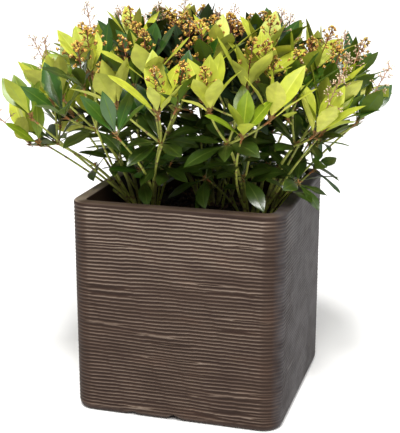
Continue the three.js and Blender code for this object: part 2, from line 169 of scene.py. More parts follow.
STEM_SUNK = 6
WALL_CLEARANCE = 5
MIX_CLEARANCE = 4
BASAL_SHOOTS = 7
BASAL_TURN_JITTER = 0.6
BASAL_SPREAD = (10, 34)
BASAL_LEAN = (16, 88)
BASAL_HEIGHT = (66, 168)
BASAL_BOW = 16
BASAL_LIFT = 0.4
BASAL_RADII = (2.2, 1.6)
BASAL_OLD_SHARE = 0.55
BASAL_MATURE_SHARE = 0.5
BASAL_SECOND_WHORL = 0.55
BASAL_STRETCH = (0.75, 1.2)
# Turn, lean and height of the two whose leaves hang over the planter's right rim
RIM_SHOOTS = ((0.05, 84, 106), (-0.55, 84, 94))

SPENT_SHARE = 0.55
SPENT_SHARE_IN_FRONT = 0.1
SPENT_DEPTH = 60
SIDE_SPENT_FLOOR = 465
SIDE_SPENT_EXTRA = 26
SIDE_SPENT_REACH = 1.3

# Where each rule for a rosette's shade begins, and the limits of the dice for its shades
INNER_SHARE = 0.10
SIDE_SHARE = 0.6
FAR_SIDE_SHARE = 0.84
FRONT_DEPTH = -25
LEFT_PART = -225
SHADE_FLOOR = 430
SHADE_RISE = 320
LEFT_SHADES = ((0.25, "mature"), (0.6, "fresh"), (1, "young"))
SIDE_SHOOT_SHADES = ((0.3, "old"), (0.75, "mature"), (1, "fresh"))
FAR_SIDE_SHADES = ((0.85, "mature"), (1, "fresh"))
YOUNG_IN_FRONT = 0.82
YOUNG_BESIDE = 0.5
YOUNG_BY_HEIGHT = (1.3, -0.15)
FRESH_BESIDE = 0.7
FRESH_BY_HEIGHT = (1.25, 0.2)


def make_random(seed):
    """The source's Park-Miller sequence, with every product exact in integers."""
    state = seed

    def draw():
        nonlocal state
        state = state * 48271 % 2147483647
        return state / 2147483647
    return draw


def unit(vector):
    return vector / sqrt(float(vector @ vector))


def lerp(a, b, share):
    return a + (b - a) * share


def pick(dice, choices):
    """The first choice whose limit is above the dice."""
    return next(choice for limit, choice in choices if dice < limit)


def frame_about(axis):
    first = unit(np.cross(axis, (0.0, 1.0, 0.0)))
    return first, np.cross(axis, first)


UP = np.array((0.0, 0.0, 1.0))


class Bezier:
    def __init__(self, start, bend, end):
        self.start, self.bend, self.end = start, bend, end

    def point(self, t):
        return (1 - t) ** 2 * self.start + 2 * t * (1 - t) * self.bend + t * t * self.end

    def tangent(self, t):
        return unit(2 * (1 - t) * (self.bend - self.start) + 2 * t * (self.end - self.bend))


# ---- crown sectors

def direction_to(polar, azimuth):
    tilt, turn = radians(polar), radians(azimuth)
    return unit(np.array((sin(tilt) * cos(turn),
                          sin(tilt) * sin(turn) * FAN_DEPTH_RATIO,
                          cos(tilt))))


def crown_share(points):
    share = np.abs((points - CROWN_CENTRE) / CROWN_HALF_AXES) ** CROWN_SQUARENESS
    return share.sum(axis=-1)


def above_skirt(points):
    """Whether the points lie over the slant that the crown's underside rises along."""
    apart = (points - CROWN_CENTRE)[..., :2] * (1.0, CROWN_HALF_AXES[0] / CROWN_HALF_AXES[1])
    out = np.linalg.norm(apart, axis=-1)
    slant = SKIRT_SLOPE * (out - SKIRT_RADIUS) + SKIRT_TILT * points[..., 0]
    return points[..., 2] > SKIRT_HEIGHT + slant


def reach_along(direction):
    near = float(np.linalg.norm(CROWN_CENTRE - FAN_POINT))
    far = near + CROWN_HALF_AXES[0]
    for _ in range(REACH_HALVINGS):
        middle = (near + far) / 2
        if crown_share(FAN_POINT + direction * middle) < 1:
            near = middle
        else:
            far = middle
    return near


class Sector:
    def __init__(self, ring, number, index):
        self.ring, self.index = ring, index
        self.direction = direction_to(ring["polar"], ring["start"] + number * ring["step"])
        self.reach = reach_along(self.direction)
        bare = ring["bare"] - BACK_DROP * max(0.0, self.direction[1])
        self.tip = FAN_POINT + self.direction * (self.reach * bare)
        clump = min(CLUMPS, key=lambda c: float(np.linalg.norm(c - self.tip[:2])))
        stand = clump + unit(self.tip[:2] - clump) * ring["offset"]
        self.foot = np.array((stand[0], stand[1], SOIL_LEVEL + FIT_GAP))
        bend = lerp(self.foot, self.tip, STEM_BEND_OUT)
        bend[2] = lerp(self.foot[2], self.tip[2], STEM_BEND_UP)
        self.curve = Bezier(self.foot, bend, self.tip)
        suffix = f"_{number + 1}" if ring["count"] > 1 else ""
        self.label = ring["name"] + suffix


places = [(ring, number) for ring in RINGS for number in range(ring["count"])]
sectors = [Sector(*place, index) for index, place in enumerate(places)]
for sector in sectors:
    sector.walls = np.array([unit(sector.direction - other.direction)
                             for other in sectors if other is not sector])


def stem_radius(along):
    flare = max(0.0, 1 - along / STEM_FLARE_SHARE)
    return lerp(*STEM_RADII, along) + STEM_FLARE * flare


stem_points = np.array([[sector.curve.point(i / STEM_STEPS) for i in range(STEM_STEPS + 1)]
                        for sector in sectors])
SEGMENT_STARTS = stem_points[:, :-1].reshape(-1, 3)
SEGMENT_STEPS = np.diff(stem_points, axis=1).reshape(-1, 3)
SEGMENT_ROOM = np.tile([stem_radius(i / STEM_STEPS) + LEAF_CLEARANCE
                        for i in range(STEM_STEPS)], len(sectors))
SEGMENT_SQUARES = (SEGMENT_STEPS ** 2).sum(axis=1)


def room_in_sector(sector, points):
    return ((points - FAN_POINT) @ sector.walls.T).min(axis=-1)


def clear_of_pot(points):
    half = POT_WIDTH / 2 + LEAF_CLEARANCE
    within = (np.abs(points[:, 0]) < half) & (np.abs(points[:, 1]) < half)
    return not np.any(within & (points[:, 2] <= POT_HEIGHT + LEAF_CLEARANCE))


def clear_of_wall(points):
    """Whether the points keep off the potting mix and the planter's wall and rim."""
    reach = np.abs(points[:, :2]).max(axis=1)
    low = points[:, 2] < POT_HEIGHT + LEAF_CLEARANCE
    in_wall = ((reach > POT_WIDTH / 2 - POT_WALL - WALL_CLEARANCE)
               & (reach < POT_WIDTH / 2 + MIX_CLEARANCE))
    in_mix = (reach < POT_WIDTH / 2) & (points[:, 2] < SOIL_LEVEL + MIX_CLEARANCE)
    return not np.any(low & (in_wall | in_mix))


def clear_of_stems(points):
    apart = points[:, None, :] - SEGMENT_STARTS
    share = np.clip((apart * SEGMENT_STEPS).sum(axis=2) / SEGMENT_SQUARES, 0, 1)
    gap = np.linalg.norm(apart - SEGMENT_STEPS * share[..., None], axis=2)
    return not np.any(gap < SEGMENT_ROOM)


# ---- leaves

CHECK_ALONG = np.array((0.25, 0.4, LEAF_WIDEST_AT, 0.75, 1.0))
CHECK_ACROSS = np.array((-1.0, -0.5, 0.0, 0.5, 1.0))
CHECK_HALF = np.where(CHECK_ALONG < LEAF_WIDEST_AT, CHECK_ALONG / LEAF_WIDEST_AT,
                      (1 - CHECK_ALONG) / (1 - LEAF_WIDEST_AT))


class Leaf:
    def __init__(self, root, axis, turn, angle, length):
        first, second = frame_about(axis)
        outward = first * cos(turn) + second * sin(turn)
        self.root, self.length = root, length
        self.direction = axis * cos(angle) + outward * sin(angle)
        self.face = axis * sin(angle) - outward * cos(angle)
        self.side = np.cross(self.face, self.direction)

    def checks(self):
        along = (self.root + self.direction * (self.length * CHECK_ALONG)[:, None]
                 - self.face * (LEAF_DROOP * CHECK_ALONG ** 2)[:, None])
        half = self.length * LEAF_WIDTH_SHARE * 0.5 * CHECK_HALF
        across = half[:, None, None] * CHECK_ACROSS[None, :, None] * self.side
        return (along[:, None, :] + across).reshape(-1, 3)


# The leaves, and what the twigs, panicles and bud scales are made from
leaves, twigs, panicles, buds = [], [], [], []


def hangs_clear(points):
    return clear_of_pot(points) and above_skirt(points).all()


def leaf_fits(sector, points):
    return (room_in_sector(sector, points).min() > WALL_SOFTNESS
            and crown_share(points).max() < 1 and hangs_clear(points)
            and clear_of_stems(points))


def fit_leaf(sector, taken, root, axis, turn, angle, length, apart):
    """The first way to shrink, fold and swing a leaf that fits, or None."""
    close = cos(apart)
    for shrink, fold, swing in product(SHRINKS, FOLDS, SWINGS):
        leaf = Leaf(root, axis, turn + swing, angle * fold, length * shrink)
        if (all(float(leaf.direction @ other.direction) <= close for other in taken)
                and leaf_fits(sector, leaf.checks())):
            return leaf
    return None


def drawn_length(random):
    return LEAF_LENGTH + LEAF_LENGTH_JITTER * (random() - 0.5)


def add_leaf_ring(sector, random, taken, root, axis, ring, shade, apart=LEAF_APART):
    count, angles, scale = ring
    start = random() * tau
    for i in range(count):
        turn = start + (i + LEAF_TURN_JITTER * (random() - 0.5)) * tau / count
        angle = radians(lerp(*angles, random()))
        length = drawn_length(random) * scale
        leaf = fit_leaf(sector, taken, root, axis, turn, angle, length, apart)
        if leaf:
            taken.append(leaf)
            leaves.append((leaf, shade))


def add_loose_ring(ring, fine, start, point, axis, shade, fits, length_at, fewer=0):
    """A ring that no sector bounds: length_at draws each length, fits says what stays."""
    count, angles, scale = ring
    count -= fewer
    for i in range(count):
        turn = start + (i + LOOSE_TURN_JITTER * fine()) * tau / count
        angle = radians(lerp(*angles, fine()))
        leaf = Leaf(point, axis, turn, angle, length_at() * scale)
        if fits(leaf.checks()):
            leaves.append((leaf, shade))


def share_aside(point):
    """How far out to a side a point lies: 0 in the middle, 1 at the crown's side."""
    return abs(point[0] - CROWN_CENTRE[0]) / CROWN_HALF_AXES[0]


def shade_at(point, dice, side_shoot):
    """A rosette's shade: young low down outside, darker on top and far aside, and near black
    inside, where the dark colour is painted shade.
    """
    aside = share_aside(point)
    height = (point[2] - SHADE_FLOOR) / SHADE_RISE
    # Inside the crown the leaves take a near-black colour of painted shade
    if crown_share(point) < INNER_SHARE:
        return "painted_shade"
    if point[0] < LEFT_PART:
        return pick(dice, LEFT_SHADES)
    if side_shoot:
        return pick(dice, SIDE_SHOOT_SHADES)
    if aside > FAR_SIDE_SHARE:
        return pick(dice, FAR_SIDE_SHADES)
    beside = aside > SIDE_SHARE
    young = YOUNG_BESIDE if beside else lerp(*YOUNG_BY_HEIGHT, height)
    fresh = FRESH_BESIDE if beside else lerp(*FRESH_BY_HEIGHT, height)
    if point[1] < FRONT_DEPTH:
        young = YOUNG_IN_FRONT
    return pick(dice, ((young, "young"), (fresh, "fresh"), (1, "mature")))


def grow_rosette(sector, random, fine, end, axis, rings, flowers_too=True):
    """Rings of leaves at a shoot's end, on most with a panicle in the middle."""
    shade = shade_at(end, fine(), not flowers_too)
    taken = []
    add_leaf_ring(sector, random, taken, end, axis, rings[0], shade)
    flowers = random() < PANICLE_SHARE and end[2] > PANICLE_FLOOR
    beside = share_aside(end) > SIDE_SHARE
    if flowers_too:
        heart = HEART_BESIDE_FLOWERS if flowers else HEART
        add_leaf_ring(sector, random, taken, end, axis, heart, shade)
    if flowers:
        often_spent = beside or end[1] > SPENT_DEPTH
        spent = fine() < (SPENT_SHARE if often_spent else SPENT_SHARE_IN_FRONT)
        panicles.append((end, axis, random() * tau, spent, fine()))
    elif flowers_too and beside and end[2] > SIDE_SPENT_FLOOR:
        panicles.append((end, axis, fine() * tau, True, fine()))
    for extra in rings[1:]:
        add_leaf_ring(sector, fine, taken, end, axis, extra, shade, FINE_APART)
    buds.append((end, axis, ROSETTE_BUD, fine() * tau))


def rosette_axis(sector, direction):
    """A rosette turns up to the light, less so out at the sides."""
    return unit(direction + UP * (ROSETTE_LIFT * (1 - SIDE_LEAN * abs(sector.direction[0]))))


def shoot_floor(sector):
    """The height that shoots reach at least, lower out at the sides."""
    aside = sector.direction[0]
    return SHOOT_FLOOR - SHOOT_FLOOR_FALL * abs(aside) + SHOOT_FLOOR_TILT * aside


def shoot_end(sector, turn, spread_angle, distance, room):
    """Where a shoot ends: drawn in to the sector's middle until it has room, or None."""
    first, second = frame_about(sector.direction)
    spread = tan(radians(spread_angle))
    for share in SPREAD_SHARES:
        aside = spread * share
        aim = unit(sector.direction + first * cos(turn) * aside
                   + second * sin(turn) * aside + UP * SHOOT_LIFT)
        end = FAN_POINT + aim * distance
        if room_in_sector(sector, end) > room and end[2] > shoot_floor(sector):
            return end
    return None


def grow_shoot(sector, random, fine, fork, number):
    ring = sector.ring
    turn = (number + SHOOT_TURN_JITTER * random()) * tau / ring["shoots"] + sector.index
    distance = sector.reach - ring["set_back"] - SHOOT_DEPTH_JITTER * random()
    end = shoot_end(sector, turn, SHOOT_SPREAD, distance, SHOOT_ROOM)
    if end is None:
        return None
    outward = end - fork
    outward = unit(outward - sector.direction * float(outward @ sector.direction))
    bend = lerp(fork, end, 0.5) + outward * SHOOT_BOW
    axis = rosette_axis(sector, unit(end - bend))
    curve = Bezier(fork, bend, end)
    twigs.append((curve, SHOOT_RADII, True))
    grow_rosette(sector, random, fine, end, axis, (ROSETTE, MIDDLE, BUD))
    return curve


def grow_fine_shoot(sector, fine, curve, number, depth, low_fork=False):
    """A side shoot that ends in a smaller rosette.

    It leaves a main shoot half-way, or forks off the stem low down and runs up beside it.
    """
    along = fine()
    if low_fork:
        start = sector.curve.point(lerp(*LOW_FORK, along))
    else:
        start = curve.point(lerp(*SIDE_FORK, along))
    turn = ((number + 0.5 + FINE_TURN_JITTER * fine()) * tau / sector.ring["shoots"]
            + sector.index)
    distance = sector.reach - sector.ring["set_back"] - depth - FINE_DEPTH_JITTER * fine()
    end = shoot_end(sector, turn, SHOOT_SPREAD * FINE_SPREAD, distance, SHOOT_ROOM * FINE_ROOM)
    if end is None:
        return
    if low_fork:
        bow = LOW_FORK_BOW if along < 0.5 else -LOW_FORK_BOW
        bend = lerp(start, end, 0.45) + unit(np.cross(end - start, UP)) * bow
    else:
        bend = lerp(start, end, 0.55) - UP * SIDE_SAG
    axis = rosette_axis(sector, unit(end - bend))
    twigs.append((Bezier(start, bend, end), LOW_FORK_RADII if low_fork else FINE_RADII, True))
    grow_rosette(sector, fine, fine, end, axis, (FINE_ROSETTE, FINE_MIDDLE), False)


def grow_low_whorl(sector, fine, along):
    """Old leaves that still ring the stem under the foliage."""
    point = sector.curve.point(along)
    axis = unit(sector.curve.tangent(along) + UP)
    start = fine() * tau
    add_loose_ring(LOW_WHORL, fine, start, point, axis, "old", hangs_clear,
                   lambda: drawn_length(fine))
    buds.append((point, axis, WHORL_BUD, start))


def grow_inner_whorl(curve, fine):
    """Near-black leaves half-way up a shoot inside the crown, their colour painted shade."""
    add_loose_ring(INNER_WHORL, fine, fine() * tau, curve.point(INNER_WHORL_PLACE),
                   curve.tangent(INNER_WHORL_PLACE), "painted_shade",
                   lambda points: (hangs_clear(points)
                                   and crown_share(points).max() < INNER_WHORL_REACH),
                   lambda: LEAF_LENGTH)


def grow_basal_shoot(clump, turn, spread, lean, height, fine):
    """A thin young stem from the mix that ends low down in a small whorl over another."""
    out = np.array((cos(turn), sin(turn), 0.0))
    foot = np.array((*clump, SOIL_LEVEL - STEM_SUNK)) + out * spread
    end = foot + out * lean + UP * height
    bend = lerp(foot, end, 0.5) + UP * BASAL_BOW
    axis = unit(unit(end - bend) + UP * BASAL_LIFT)
    twigs.append((Bezier(foot, bend, end), BASAL_RADII, True))
    if fine() < BASAL_OLD_SHARE:
        shade = "old"
    else:
        shade = "mature" if fine() < BASAL_MATURE_SHARE else "fresh"
    start = fine() * tau
    for level in (0, 1):
        add_loose_ring(BASAL_WHORL, fine, start + level,
                       lerp(end, bend, BASAL_SECOND_WHORL * level), axis,
                       "old" if level else shade, clear_of_wall,
                       lambda: LEAF_LENGTH * lerp(*BASAL_STRETCH, fine()), 2 * level)
    buds.append((end, axis, WHORL_BUD, start))


def grow_sector(sector):
    random = make_random(SEED + SEED_STEP * (sector.index + 1))
    fine = make_random(FINE_SEED + SEED_STEP * (sector.index + 1))
    axis = sector.curve.tangent(1)
    fork = sector.tip + axis * NECK_LENGTH
    whorl_axis = unit(axis + UP * WHORL_LIFT)
    neck = Bezier(sector.tip, lerp(sector.tip, fork, 0.5), fork)
    twigs.append((neck, NECK_RADII, False))
    taken = []
    add_leaf_ring(sector, random, taken, fork, whorl_axis, WHORL, "old")
    add_leaf_ring(sector, fine, taken, fork, whorl_axis, WHORL_FILL, "old", FINE_APART)
    buds.append((fork, axis, FORK_BUD, fine() * tau))
    inside = sector.direction[1] > 0.1 or sector.ring["name"] in ("inner", "top")
    curves = [grow_shoot(sector, random, fine, fork, number)
              for number in range(sector.ring["shoots"])]
    for number, curve in enumerate(curves):
        if curve:
            grow_fine_shoot(sector, fine, curve, number, OUTER_DEPTH, low_fork=number != 1)
            if inside:
                grow_fine_shoot(sector, fine, curve, number + 0.4, INNER_DEPTH)
                grow_inner_whorl(curve, fine)
    for place, play in LOW_WHORL_PLACES if inside else LOW_WHORL_PLACES[:1]:
        grow_low_whorl(sector, fine, place + play * fine())


for sector in sectors:
    grow_sector(sector)
dice = make_random(FINE_SEED)
for clump in CLUMPS:
    for number in range(BASAL_SHOOTS):
        turn = (number + BASAL_TURN_JITTER * dice()) * tau / BASAL_SHOOTS
        spread, lean, height = [lerp(*limits, dice())
                                for limits in (BASAL_SPREAD, BASAL_LEAN, BASAL_HEIGHT)]
        grow_basal_shoot(clump, turn, spread, lean, height, dice)
for turn, lean, height in RIM_SHOOTS:
    grow_basal_shoot(CLUMPS[1], turn, BASAL_SPREAD[1], lean, height, dice)

# ---- meshes

def add_object(name, data):
    thing = bpy.data.objects.new(name, data)
    bpy.context.scene.collection.objects.link(thing)
    return thing


def bands(rings, count):
    """Quads between each ring of points and the next."""
    return [(a + i, a + (i + 1) % count, a + count + (i + 1) % count, a + count + i)
            for a in range(0, (rings - 1) * count, count) for i in range(count)]


class Piece:
    """Points and faces of one joined piece, with a material for each face."""

    def __init__(self, name, materials):
        self.name, self.materials = name, materials
        self.points, self.faces, self.slots, self.creases = [], [], [], []
        self.count = 0

    def add(self, points, faces, slots=0, crease=None):
        offset = self.count
        self.points.append(np.asarray(points, float))
        self.faces.extend([tuple(i + offset for i in face) for face in faces])
        self.slots.extend(slots if isinstance(slots, list) else [slots] * len(faces))
        self.creases.append(np.zeros(len(points), bool) if crease is None else crease)
        self.count += len(points)

    def build(self, slot, *replaced, smooth=True, attributes=None):
        mesh = bpy.data.meshes.new(self.name)
        mesh.from_pydata((np.concatenate(self.points) * MM).tolist(), [], self.faces)
        for material in self.materials:
            mesh.materials.append(material)
        mesh.polygons.foreach_set("material_index", self.slots)
        mesh.polygons.foreach_set("use_smooth", [smooth] * len(self.faces))
        flags = np.concatenate(self.creases)
        if flags.any():
            ends = np.zeros(len(mesh.edges) * 2, np.int32)
            mesh.edges.foreach_get("vertices", ends)
            sharp = flags[ends.reshape(-1, 2)].all(axis=1)
            layer = mesh.attributes.new("sharp_edge", "BOOLEAN", "EDGE")
            layer.data.foreach_set("value", sharp)
        for name, values in (attributes or {}).items():
            layer = mesh.attributes.new(name, "FLOAT", "POINT")
            layer.data.foreach_set("value", values.astype(np.float32))
        mesh.validate()
        piece = add_object(self.name, mesh)
        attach(piece, "root")
        if replaced:
            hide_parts(*replaced)


def tube(piece, centres, tangents, radii, sides, slots, lobes=None):
    """A round limb through the centres, closed at both ends."""
    points = []
    for k, (centre, tangent, radius) in enumerate(zip(centres, tangents, radii)):
        first, second = frame_about(tangent)
        for i in range(sides):
            turn = tau * i / sides
            r = radius * (1 if lobes is None else lobes[k][i])
            points.append(centre + (first * cos(turn) + second * sin(turn)) * r)
    last = (len(centres) - 1) * sides
    faces = bands(len(centres), sides) + [tuple(range(sides))[::-1],
                                          tuple(range(last, last + sides))]
    marks = [slot for slot in slots[:-1] for _ in range(sides)] + [slots[0], slots[-1]]
    piece.add(points, faces, marks)


# ---- materials

def node_material(name, roughness):
    material = bpy.data.materials.new(name)
    material.use_nodes = True
    shader = material.node_tree.nodes["Principled BSDF"]
    shader.inputs["Roughness"].default_value = roughness
    return material, material.node_tree, shader


def set_inputs(tree, node, values):
    """Gives each input its plain value, or a link where the value is a socket."""
    for name, value in values.items():
        if isinstance(value, bpy.types.NodeSocket):
            tree.links.new(value, node.inputs[name])
        else:
            node.inputs[name].default_value = value


def add_node(tree, kind, **values):
    node = tree.nodes.new("ShaderNode" + kind)
    set_inputs(tree, node, values)
    return node


def noise(tree, scale, detail, stretch=None):
    source = add_node(tree, "TexCoord").outputs["Object"]
    if stretch:
        source = add_node(tree, "Mapping", Scale=stretch, Vector=source).outputs["Vector"]
    return add_node(tree, "TexNoise", Scale=scale, Detail=detail, Vector=source).outputs["Fac"]


def ramp(tree, source, stops):
    node = add_node(tree, "ValToRGB", Fac=source)
    elements = node.color_ramp.elements
    while len(elements) < len(stops):
        elements.new(0.5)
    for element, (position, colour) in zip(elements, stops):
        element.position = position
        element.color = (*colour, 1)
    return node.outputs["Color"]


def bump(tree, shader, source, strength, distance):
    node = add_node(tree, "Bump", Strength=strength, Distance=distance, Height=source)
    set_inputs(tree, shader, {"Normal": node.outputs["Normal"]})


def mix_colours(tree, blend, factor, first, second):
    node = add_node(tree, "Mix")
    node.data_type = "RGBA"
    node.blend_type = blend
    set_inputs(tree, node, {0: factor, 6: first, 7: second})
    return node.outputs[2]


def scaled(colour, factor):
    return tuple(min(1.0, part * factor) for part in colour)


def plain_material(name, colour, roughness, spread=0.16, scale=60, depth=0.0003, coat=0.0,
                   specular=0.5):
    """A colour with soft mottling and a fine grain."""
    material, tree, shader = node_material(name, roughness)
    mottle = ramp(tree, noise(tree, scale, 4), [(0.3, scaled(colour, 1 - spread)),
                                                (0.7, scaled(colour, 1 + spread))])
    drift = ramp(tree, noise(tree, 11, 2), [(0.35, (0.80, 0.82, 0.78)), (0.65, (1.1, 1.06, 1.0))])
    set_inputs(tree, shader, {"Base Color": mix_colours(tree, "MULTIPLY", 1.0, mottle, drift),
                              "Specular IOR Level": specular})
    if coat:
        set_inputs(tree, shader, {"Coat Weight": coat, "Coat Roughness": 0.2})
    bump(tree, shader, noise(tree, scale * 9, 3), 0.35, depth)
    return material


YOUNG_STALK = (0.23, 0.13, 0.035)
OLD_STALK = (0.12, 0.13, 0.04)
# The upper and under colour of each shade, its roughness, coat and stalk colour
LEAF_LOOKS = {
    "young": ((0.48, 0.535, 0.046), (0.59, 0.62, 0.11), 0.5, 0.05, YOUNG_STALK),
    "fresh": ((0.19, 0.28, 0.012), (0.38, 0.44, 0.04), 0.42, 0.15, YOUNG_STALK),
    "mature": ((0.028, 0.088, 0.007), (0.095, 0.160, 0.010), 0.3, 0.85, OLD_STALK),
    "old": ((0.034, 0.068, 0.007), (0.10, 0.145, 0.016), 0.32, 0.7, OLD_STALK),
    # Near-black leaves inside the crown: their colour is painted shade
    "painted_shade": ((0.010, 0.028, 0.007), (0.030, 0.050, 0.014), 0.45, 0.05, OLD_STALK),
}


def leaf_materials(shade):
    """The materials of a leaf's upper side, under side, rib and stalk."""
    upper, under, roughness, coat, stalk = LEAF_LOOKS[shade]
    rib = scaled(lerp(np.array(upper), np.array(under), 0.5), 1.1)
    return [plain_material(f"leaf_{shade}_upper", upper, roughness, coat=coat, specular=0.45),
            plain_material(f"leaf_{shade}_under", under, 0.6, specular=0.3),
            plain_material(f"leaf_{shade}_rib", rib, 0.5),
            plain_material(f"leaf_{shade}_stalk", stalk, 0.5)]


pieces_of_leaves = {shade: Piece(f"leaves_{shade}", leaf_materials(shade))
                    for shade in LEAF_LOOKS}

# ---- leaf meshes

# From foot to tip: the place along, the half width beside the widest, the share of round stalk
LEAF_STATIONS = np.array((0.0, 0.06, 0.14, 0.27, 0.41, 0.55, 0.69, 0.82, 0.93, 1.0))
LEAF_PROFILE = np.array((0.075, 0.085, 0.15, 0.41, 0.75, 0.98, 0.95, 0.65, 0.28, 0.0))
LEAF_STALK = np.array((1.0, 0.95, 0.45, 0.08, 0.0, 0.0, 0.0, 0.0, 0.0, 0.0))[:, None]
# Round the leaf from one edge over the upper side and back under: place across, and side
RING_ACROSS = np.array((-1.0, -0.52, -0.07, 0.07, 0.52, 1.0, 0.52, 0.07, -0.07, -0.52))
RING_SIDE = np.array((0.0, 1.0, 0.7, 0.7, 1.0, 0.0, -1.0, -1.6, -1.6, -1.0))
UPPER, UNDER, RIB, STALK = range(4)
RING_SLOTS = [UPPER, UPPER, RIB, UPPER, UPPER, UNDER, UNDER, RIB, UNDER, UNDER]
RING_TURN = np.linspace(pi, -pi, 11)[:10]
LEAF_RINGS = len(LEAF_STATIONS) - 1
LEAF_SIDES = len(RING_ACROSS)
STALK_RINGS = 2
LEAF_THICKNESS = 0.45
STALK_RADIUS = 1.35
LEAF_ARCH = 0.62
LEAF_BEND = (0.0, 0.45)
OLD_LEAF_BEND = (0.2, 0.8)
LEAF_FOLD = (0.14, 0.42)
LEAF_WAVE = (0.0, 1.6)
LEAF_TWIST = 0.7
LEAF_HALF_WIDTH = (0.155, 0.19)
LEAF_SEED = 77003


LAST_RING = (LEAF_RINGS - 1) * LEAF_SIDES
LEAF_FACES = bands(LEAF_RINGS, LEAF_SIDES)
LEAF_FACES += [(LAST_RING + i, LAST_RING + (i + 1) % LEAF_SIDES, LAST_RING + LEAF_SIDES)
               for i in range(LEAF_SIDES)]
LEAF_FACES.append(tuple(range(LEAF_SIDES))[::-1])
LEAF_SLOTS = [STALK] * (STALK_RINGS * LEAF_SIDES)
LEAF_SLOTS += RING_SLOTS * (LEAF_RINGS - STALK_RINGS) + [STALK]
LEAF_CREASE = np.append(np.tile(RING_SIDE == 0, LEAF_RINGS), True)
LEAF_CREASE[:STALK_RINGS * LEAF_SIDES] = False


def leaf_points(leaf, shade, dice):
    """Rings from the stalk to the tip of a leaf that bends, folds, waves and twists."""
    bend = lerp(*(OLD_LEAF_BEND if shade == "old" else LEAF_BEND), dice())
    fold = lerp(*LEAF_FOLD, dice())
    wave = lerp(*LEAF_WAVE, dice())
    phase = dice() * tau
    twist = (dice() - 0.5) * LEAF_TWIST
    width = leaf.length * lerp(*LEAF_HALF_WIDTH, dice())
    angle = bend * LEAF_STATIONS ** 1.4
    steps = np.diff(LEAF_STATIONS, prepend=0.0) * leaf.length
    middle = np.append(angle[0], (angle[1:] + angle[:-1]) / 2)
    forward = np.cumsum(steps * np.cos(middle))
    down = np.cumsum(steps * np.sin(middle))
    centre = leaf.root + np.outer(forward, leaf.direction) - np.outer(down, leaf.face)
    normal = np.outer(np.cos(angle), leaf.face) + np.outer(np.sin(angle), leaf.direction)
    roll = twist * LEAF_STATIONS
    side = np.outer(np.cos(roll), leaf.side) + normal * np.sin(roll)[:, None]
    normal = normal * np.cos(roll)[:, None] - np.outer(np.sin(roll), leaf.side)
    out = np.abs(RING_ACROSS)
    across = (LEAF_PROFILE * width)[:, None] * RING_ACROSS
    ripple = np.sin(LEAF_STATIONS[:, None] * 9 + phase + RING_ACROSS * 1.3)
    lift = (fold * np.abs(across) * (1 - LEAF_ARCH * out) + RING_SIDE * LEAF_THICKNESS
            + wave * out ** 2 * ripple)
    across = across * (1 - LEAF_STALK) + STALK_RADIUS * np.cos(RING_TURN) * LEAF_STALK
    lift = lift * (1 - LEAF_STALK) + STALK_RADIUS * np.sin(RING_TURN) * LEAF_STALK
    points = (centre[:, None, :] + across[..., None] * side[:, None, :]
              + lift[..., None] * normal[:, None, :])
    return np.concatenate((points[:-1].reshape(-1, 3), centre[-1:]))


dice = make_random(LEAF_SEED)
for leaf, shade in leaves:
    pieces_of_leaves[shade].add(leaf_points(leaf, shade, dice), LEAF_FACES, LEAF_SLOTS,
                                LEAF_CREASE)
masses = [f"foliage_{sector.label}" for sector in sectors]
for shade, piece in pieces_of_leaves.items():
    piece.build("foliage", *(masses if shade == "old" else ()))

# ---- stems and twigs

bark = [plain_material(*look) for look in (
    ("bark_young", (0.38, 0.42, 0.08), 0.5, 0.22, 90),
    ("bark_old", (0.29, 0.29, 0.085), 0.6, 0.3, 110),
    ("bark_scar", (0.22, 0.17, 0.06), 0.7, 0.3, 140),
    ("bark_tip", (0.36, 0.14, 0.04), 0.55, 0.3, 140))]
YOUNG, OLD, SCAR, TIP = range(4)
scale_material = plain_material("bud_scale", (0.31, 0.16, 0.05), 0.6, 0.3, 160)
NEVER = 2
ALWAYS = -1
RED_TIP = 16
LIMB_RING_STEP = 5
LIMB_JITTER = 0.05
LOBE_JITTER = 0.07
SCAR_SWELL = 1.08
STEM_LOOK = dict(spacing=58, sides=10, young_from=0.45)
TWIG_LOOK = dict(spacing=44, sides=7, young_from=ALWAYS)
STEM_SEED = 9103
TWIG_SEED = 5501
SCALE_SEED = 60013
SCALES = 9
SCALE_ROWS = (-7, 5)
SCALE_ANGLES = (18, 55)
SCALE_LENGTHS = (6, 11)
SCALE_FACES = ((0, 1, 5), (1, 2, 5), (2, 3, 5), (3, 0, 5), (1, 0, 4), (2, 1, 4), (3, 2, 4),
               (0, 3, 4))


def grow_tube(piece, curve, radius_at, dice, spacing, sides, young_from, red_from=NEVER):
    """A limb with leaf scars: narrow brown rings on slight swellings."""
    chord = float(np.linalg.norm(curve.end - curve.start))
    rings = max(4, int(chord / LIMB_RING_STEP))
    next_scar = spacing * (0.4 + 0.6 * dice())
    shares = [k / rings for k in range(rings + 1)]
    radii, slots = [], []
    for share in shares:
        radius = radius_at(share) * (1 + LIMB_JITTER * (dice() - 0.5))
        slot = TIP if share > red_from else YOUNG if share > young_from else OLD
        if share * chord > next_scar and 0 < share < 1:
            radius *= SCAR_SWELL
            slot = SCAR
            next_scar += spacing * (0.7 + 0.6 * dice())
        radii.append(radius)
        slots.append(slot)
    lobes = [[1 + LOBE_JITTER * (dice() - 0.5) for _ in range(sides)] for _ in shares]
    tube(piece, [curve.point(t) for t in shares], [curve.tangent(t) for t in shares],
         radii, sides, slots, lobes)


dice = make_random(STEM_SEED)
stems = Piece("stems", bark[:TIP])
for sector in sectors:
    curve = Bezier(sector.foot - UP * STEM_SUNK, sector.curve.bend, sector.curve.end)
    grow_tube(stems, curve, stem_radius, dice, **STEM_LOOK)
stems.build("bark", *[f"stem_{sector.label}" for sector in sectors])

